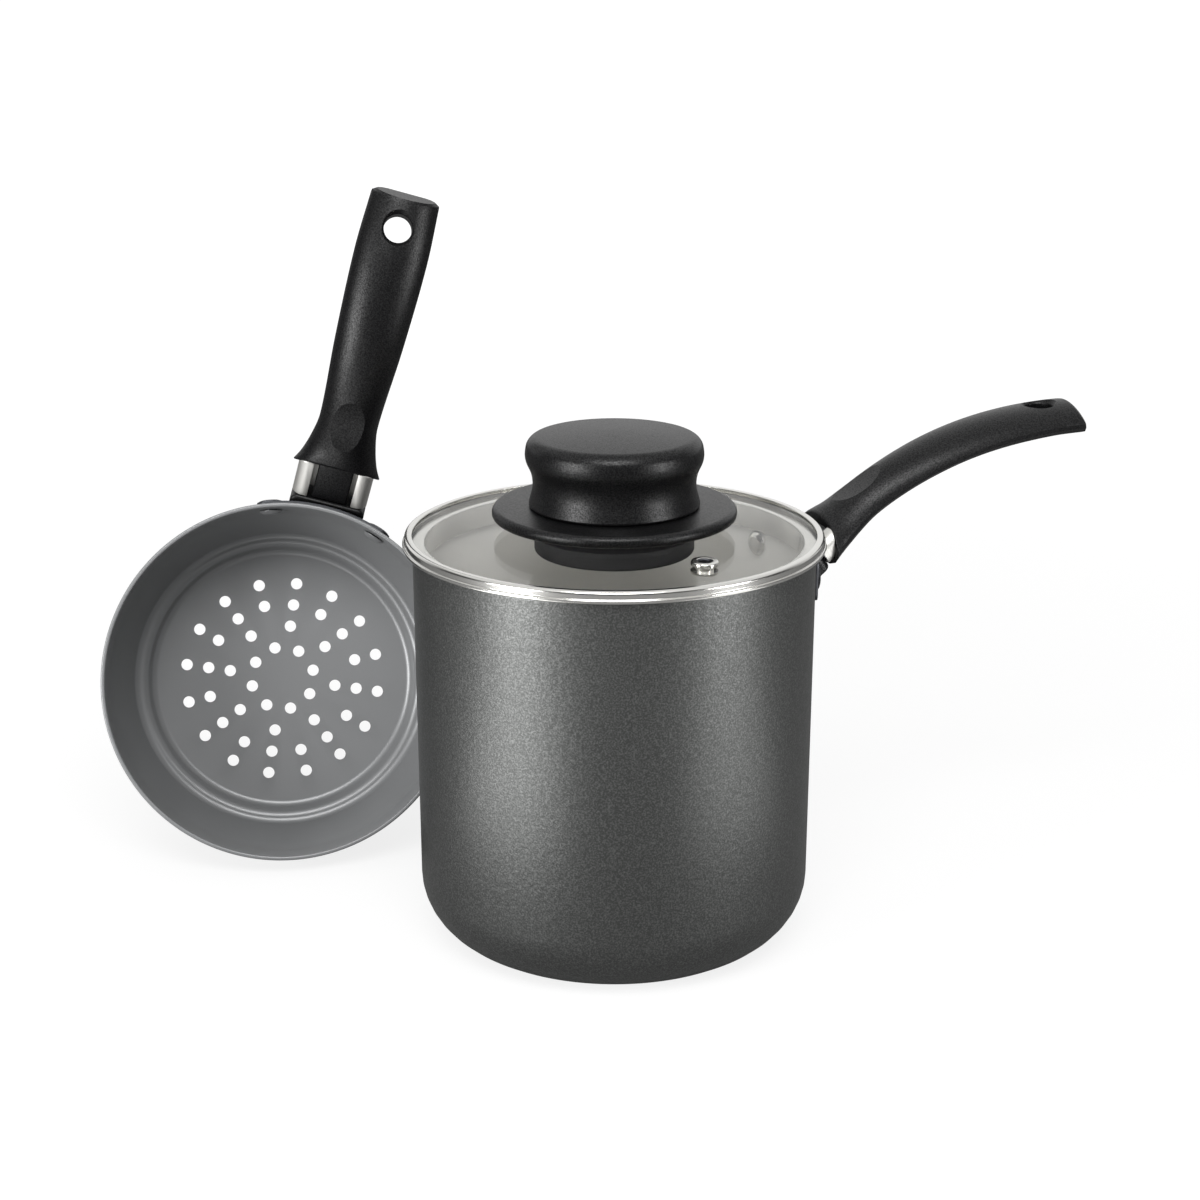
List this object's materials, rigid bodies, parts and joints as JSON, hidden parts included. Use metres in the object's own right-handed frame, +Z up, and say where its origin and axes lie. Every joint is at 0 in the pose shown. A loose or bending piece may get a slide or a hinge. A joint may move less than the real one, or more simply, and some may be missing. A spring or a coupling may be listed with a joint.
{
  "type": "couscous steamer",
  "caption": "Tall round cooking pot with a glass lid and a long handle, and a perforated steaming pan that sits in the pot's mouth, shown standing beside it.",
  "frame": {"origin": "middle of the pot's base, on the surface it stands on", "axes": "+Z up along the pot's axis, the front of the set towards -Y, the pot's handle towards +X"},
  "size_m": [0.3786, 0.2069, 0.2619],
  "materials": {
    "coated_aluminium": "speckled graphite non-stick coating",
    "lined_aluminium": "satin grey non-stick coating",
    "bakelite": "fine grained black",
    "bright_steel": "polished",
    "steel": "satin",
    "clear_glass": "clear",
    "seal_rubber": "matt black",
    "insert_brass": "plain"
  },
  "bodies": {
    "pot": {"pot_body": "coated_aluminium", "pot_bracket": "steel", "pot_rivet_left": "steel", "pot_rivet_right": "steel", "pot_handle_foot": "bakelite", "pot_flame_guard": "bright_steel", "pot_handle": "bakelite", "pot_handle_screw": "steel"},
    "lid": {"lid_rim": "bright_steel", "lid_glass": "clear_glass", "steam_vent": "bright_steel", "knob_gasket": "seal_rubber", "knob_guard": "bakelite", "lid_knob": "bakelite", "knob_insert": "insert_brass", "knob_backing": "bakelite", "knob_washer": "steel", "knob_screw": "steel"},
    "pan": {"pan_body": "lined_aluminium", "pan_bracket": "steel", "pan_rivet_left": "steel", "pan_rivet_right": "steel", "pan_handle_foot": "bakelite", "pan_flame_guard": "bright_steel", "pan_handle": "bakelite", "pan_handle_screw": "steel"}
  },
  "joints": [
    {"name": "lid_lift", "type": "slide", "parent": "pot", "child": "lid", "axis": [0, 0, 1], "range_m": [0, 0.15]},
    {"name": "pan_lift", "type": "slide", "parent": "pot", "child": "pan", "axis": [0, 0, 1], "range_m": [0, 0.2]}
  ]
}
